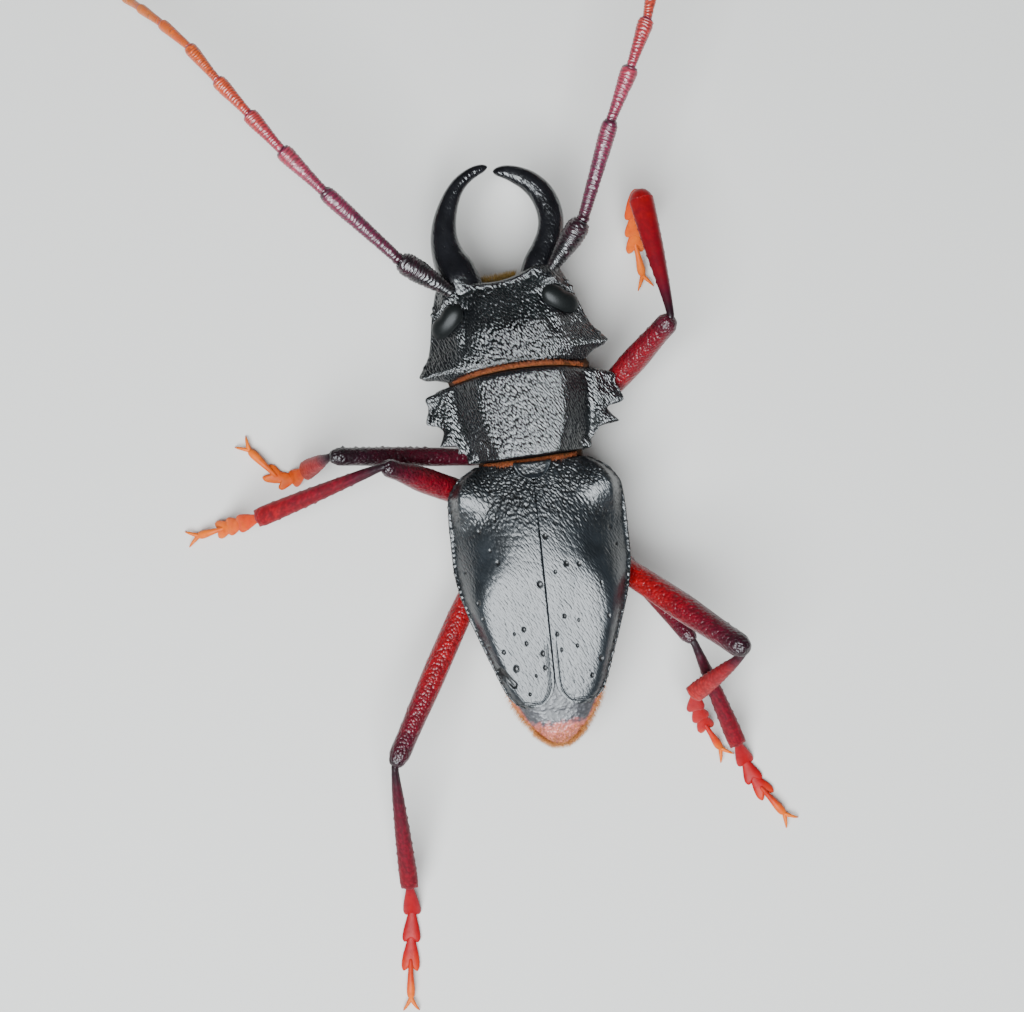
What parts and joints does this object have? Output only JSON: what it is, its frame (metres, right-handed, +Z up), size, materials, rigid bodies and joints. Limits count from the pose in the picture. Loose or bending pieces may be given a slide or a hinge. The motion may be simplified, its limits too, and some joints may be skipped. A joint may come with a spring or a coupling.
{
  "type": "prionacalus longhorn beetle model",
  "caption": "Life-size still model of a male prionine longhorn beetle with long curved jaws, a toothed collar shield, beaded feelers and red legs, set in a walking pose.",
  "frame": {"origin": "on the floor under the middle of the whole insect, feelers and legs included", "axes": "+Z up, -Y toward the head, +X toward the insect's left side"},
  "size_m": [0.0694, 0.134, 0.0185],
  "materials": {
    "black_chitin": "satin blue-black hard shell, finely wrinkled and pitted",
    "purple_chitin": "glossy purple-black hard shell with cross wrinkles",
    "red_chitin": "glossy dark red hard shell, granular above",
    "orange_chitin": "satin orange-red shell with short hairs below",
    "eye": "smooth dark grey compound eye"
  },
  "bodies": {
    "root": {"head": "black_chitin", "labrum": "black_chitin", "mandible_left": "black_chitin", "mandible_right": "black_chitin", "eye_left": "eye", "eye_right": "eye", "palp_maxillary_left": "purple_chitin", "palp_maxillary_right": "purple_chitin", "palp_labial_left": "purple_chitin", "palp_labial_right": "purple_chitin", "antenna_left_scape": "black_chitin", "antenna_left_base": "purple_chitin", "antenna_left_middle": "red_chitin", "antenna_left_tip": "orange_chitin", "antenna_right_scape": "black_chitin", "antenna_right_base": "purple_chitin", "antenna_right_middle": "red_chitin", "antenna_right_tip": "orange_chitin", "prothorax": "black_chitin", "scutellum": "black_chitin", "elytron_left": "black_chitin", "elytron_right": "black_chitin", "pterothorax": "black_chitin", "abdomen": "black_chitin", "coxa_fore_left": "purple_chitin", "femur_fore_left": "red_chitin", "tibia_fore_left": "red_chitin", "tarsus_fore_left": "orange_chitin", "coxa_fore_right": "purple_chitin", "femur_fore_right": "red_chitin", "tibia_fore_right": "red_chitin", "tarsus_fore_right": "orange_chitin", "coxa_mid_left": "purple_chitin", "femur_mid_left": "red_chitin", "tibia_mid_left": "red_chitin", "tarsus_mid_left": "orange_chitin", "coxa_mid_right": "purple_chitin", "femur_mid_right": "red_chitin", "tibia_mid_right": "red_chitin", "tarsus_mid_right": "orange_chitin", "coxa_hind_left": "purple_chitin", "femur_hind_left": "red_chitin", "tibia_hind_left": "red_chitin", "tarsus_hind_left": "orange_chitin", "coxa_hind_right": "purple_chitin", "femur_hind_right": "red_chitin", "tibia_hind_right": "red_chitin", "tarsus_hind_right": "orange_chitin"}
  },
  "joints": []
}
